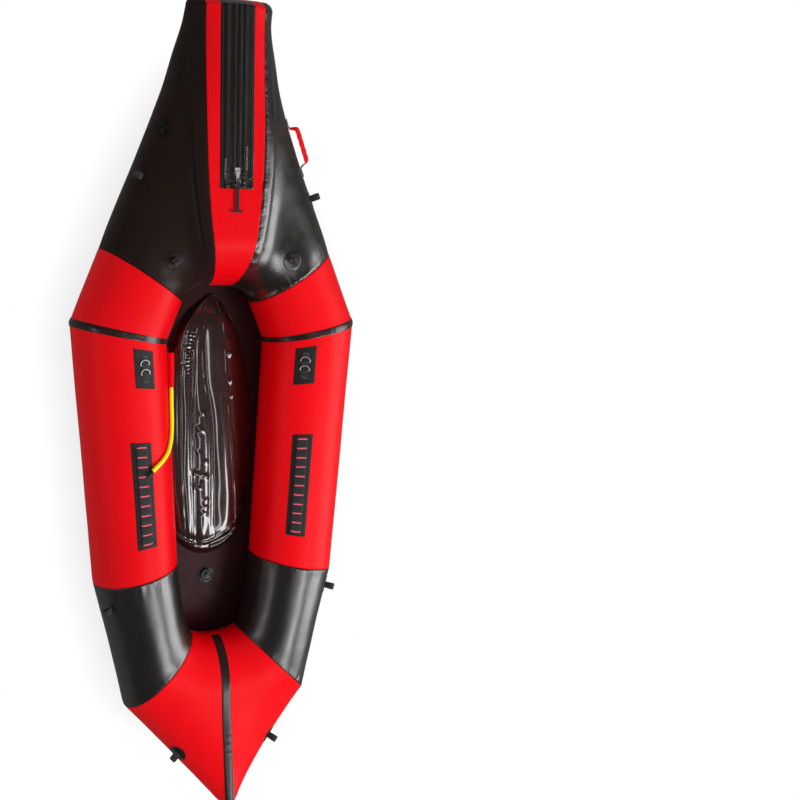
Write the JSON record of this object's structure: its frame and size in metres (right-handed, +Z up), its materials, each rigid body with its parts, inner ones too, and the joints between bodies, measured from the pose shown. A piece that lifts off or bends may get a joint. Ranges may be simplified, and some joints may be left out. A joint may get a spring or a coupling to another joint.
{
  "type": "packraft",
  "caption": "Inflatable one-person packraft with tapered bow and stern, a self-bailing inflated floor mat, a stern cargo zipper, tie-down loops, thigh-strap rings and screw-cap air valves.",
  "frame": {"origin": "middle of the raft's base, at the ground", "axes": "+Z up, +Y towards the stern with the zipper, -Y towards the bow, +X to the right of the top view"},
  "size_m": [0.9572, 2.6211, 0.3681],
  "materials": {
    "red_coated_fabric": "glossy air-tight coating, crimson",
    "black_coated_fabric": "glossy air-tight coating, black",
    "black_webbing": "matte woven",
    "black_plastic": "moulded, satin",
    "grey_rubber": "matte",
    "bright_metal": "bright plated",
    "yellow_tube": "translucent yellow tube"
  },
  "bodies": {
    "hull": {"bow_belly_panel": "black_coated_fabric", "bow_center_tape": "black_coated_fabric", "bow_panel_left": "red_coated_fabric", "bow_panel_right": "red_coated_fabric", "d_patch_left": "black_webbing", "d_patch_right": "black_webbing", "d_webbing_left": "black_webbing", "d_webbing_right": "black_webbing", "floor_mat": "black_coated_fabric", "floor_sheet": "black_coated_fabric", "floor_valve_base": "black_plastic", "floor_valve_flap": "grey_rubber", "floor_valve_insert": "black_plastic", "grab_handle_sleeve": "red_coated_fabric", "grab_handle_strap": "black_webbing", "hose_mouthpiece": "black_plastic", "hose_sleeve": "red_coated_fabric", "inflation_hose": "yellow_tube", "knuckle_tape_left": "black_coated_fabric", "knuckle_tape_right": "black_coated_fabric", "lacing_patch_left": "black_webbing", "lacing_patch_right": "black_webbing", "lacing_webbing_left": "black_webbing", "lacing_webbing_right": "black_webbing", "quarter_panel_left": "black_coated_fabric", "quarter_panel_right": "black_coated_fabric", "shoulder_panel_left": "red_coated_fabric", "shoulder_panel_right": "red_coated_fabric", "side_tube_left": "red_coated_fabric", "side_tube_right": "red_coated_fabric", "stern_center_strip": "red_coated_fabric", "stern_keel_panel": "black_coated_fabric", "stern_panel_left": "black_coated_fabric", "stern_panel_right": "black_coated_fabric", "stern_valve_base": "black_plastic", "stern_valve_flap": "grey_rubber", "stern_valve_insert": "black_plastic", "tie_loop_bow_left": "black_webbing", "tie_loop_bow_right": "black_webbing", "tie_loop_deck_left": "black_webbing", "tie_loop_deck_right": "black_webbing", "tie_loop_quarter_left": "black_webbing", "tie_loop_quarter_right": "black_webbing", "tie_loop_stern_left": "black_webbing", "tie_loop_stern_right": "black_webbing", "zipper_end_patch": "black_coated_fabric", "zipper_rail_left": "black_coated_fabric", "zipper_rail_right": "black_coated_fabric", "zipper_tape": "black_coated_fabric"},
    "slider": {"zipper_slider": "bright_metal"},
    "puller": {"zipper_puller": "bright_metal", "zipper_pull_strap": "black_coated_fabric"},
    "stern_leash": {"stern_valve_leash": "black_plastic"},
    "stern_cap": {"stern_valve_cap": "black_plastic"},
    "floor_leash": {"floor_valve_leash": "black_plastic"},
    "floor_cap": {"floor_valve_cap": "black_plastic"},
    "ring_left_front": {"d_ring_left_front": "bright_metal"},
    "ring_left_rear": {"d_ring_left_rear": "bright_metal"},
    "ring_right_front": {"d_ring_right_front": "bright_metal"},
    "ring_right_rear": {"d_ring_right_rear": "bright_metal"}
  },
  "joints": [
    {"name": "zipper_travel", "type": "slide", "parent": "hull", "child": "slider", "axis": [0, 0.9999, 0.0124], "range_m": [0, 0.44]},
    {"name": "zipper_puller_hinge", "type": "hinge", "parent": "slider", "child": "puller", "pos_m": [0, 0.79189, 0.36564], "axis": [-1, 0, 0], "range_deg": [0, 150]},
    {"name": "stern_cap_lift", "type": "slide", "parent": "hull", "child": "stern_leash", "axis": [-0.7694, 0.2419, 0.5912], "range_m": [0, 0.00375]},
    {"name": "stern_cap_turn", "type": "hinge", "parent": "stern_leash", "child": "stern_cap", "pos_m": [-0.20684, 0.9205, 0.25005], "axis": [-0.7694, 0.2419, 0.5912], "range_deg": [0, 450]},
    {"name": "floor_cap_lift", "type": "slide", "parent": "hull", "child": "floor_leash", "axis": [0, 0, 1], "range_m": [0, 0.00375]},
    {"name": "floor_cap_turn", "type": "hinge", "parent": "floor_leash", "child": "floor_cap", "pos_m": [0.007, -0.575, 0.03121], "axis": [0, 0, 1], "range_deg": [0, 450]},
    {"name": "d_ring_left_front_hinge", "type": "hinge", "parent": "hull", "child": "ring_left_front", "pos_m": [-0.27194, 0.16907, 0.29651], "axis": [0.9545, 0.0566, -0.2927], "range_deg": [0, 150]},
    {"name": "d_ring_left_rear_hinge", "type": "hinge", "parent": "hull", "child": "ring_left_rear", "pos_m": [-0.27365, 0.19802, 0.29651], "axis": [0.9545, 0.0566, -0.2927], "range_deg": [0, 150]},
    {"name": "d_ring_right_front_hinge", "type": "hinge", "parent": "hull", "child": "ring_right_front", "pos_m": [0.26175, 0.1676, 0.29302], "axis": [0.9319, -0.0544, 0.3587], "range_deg": [0, 150]},
    {"name": "d_ring_right_rear_hinge", "type": "hinge", "parent": "hull", "child": "ring_right_rear", "pos_m": [0.26344, 0.19655, 0.29302], "axis": [0.9319, -0.0544, 0.3587], "range_deg": [0, 150]}
  ],
  "couplings": [
    {"joint": "stern_cap_lift", "follows": "stern_cap_turn", "m_per_rad": 0.00047746},
    {"joint": "floor_cap_lift", "follows": "floor_cap_turn", "m_per_rad": 0.00047746}
  ]
}
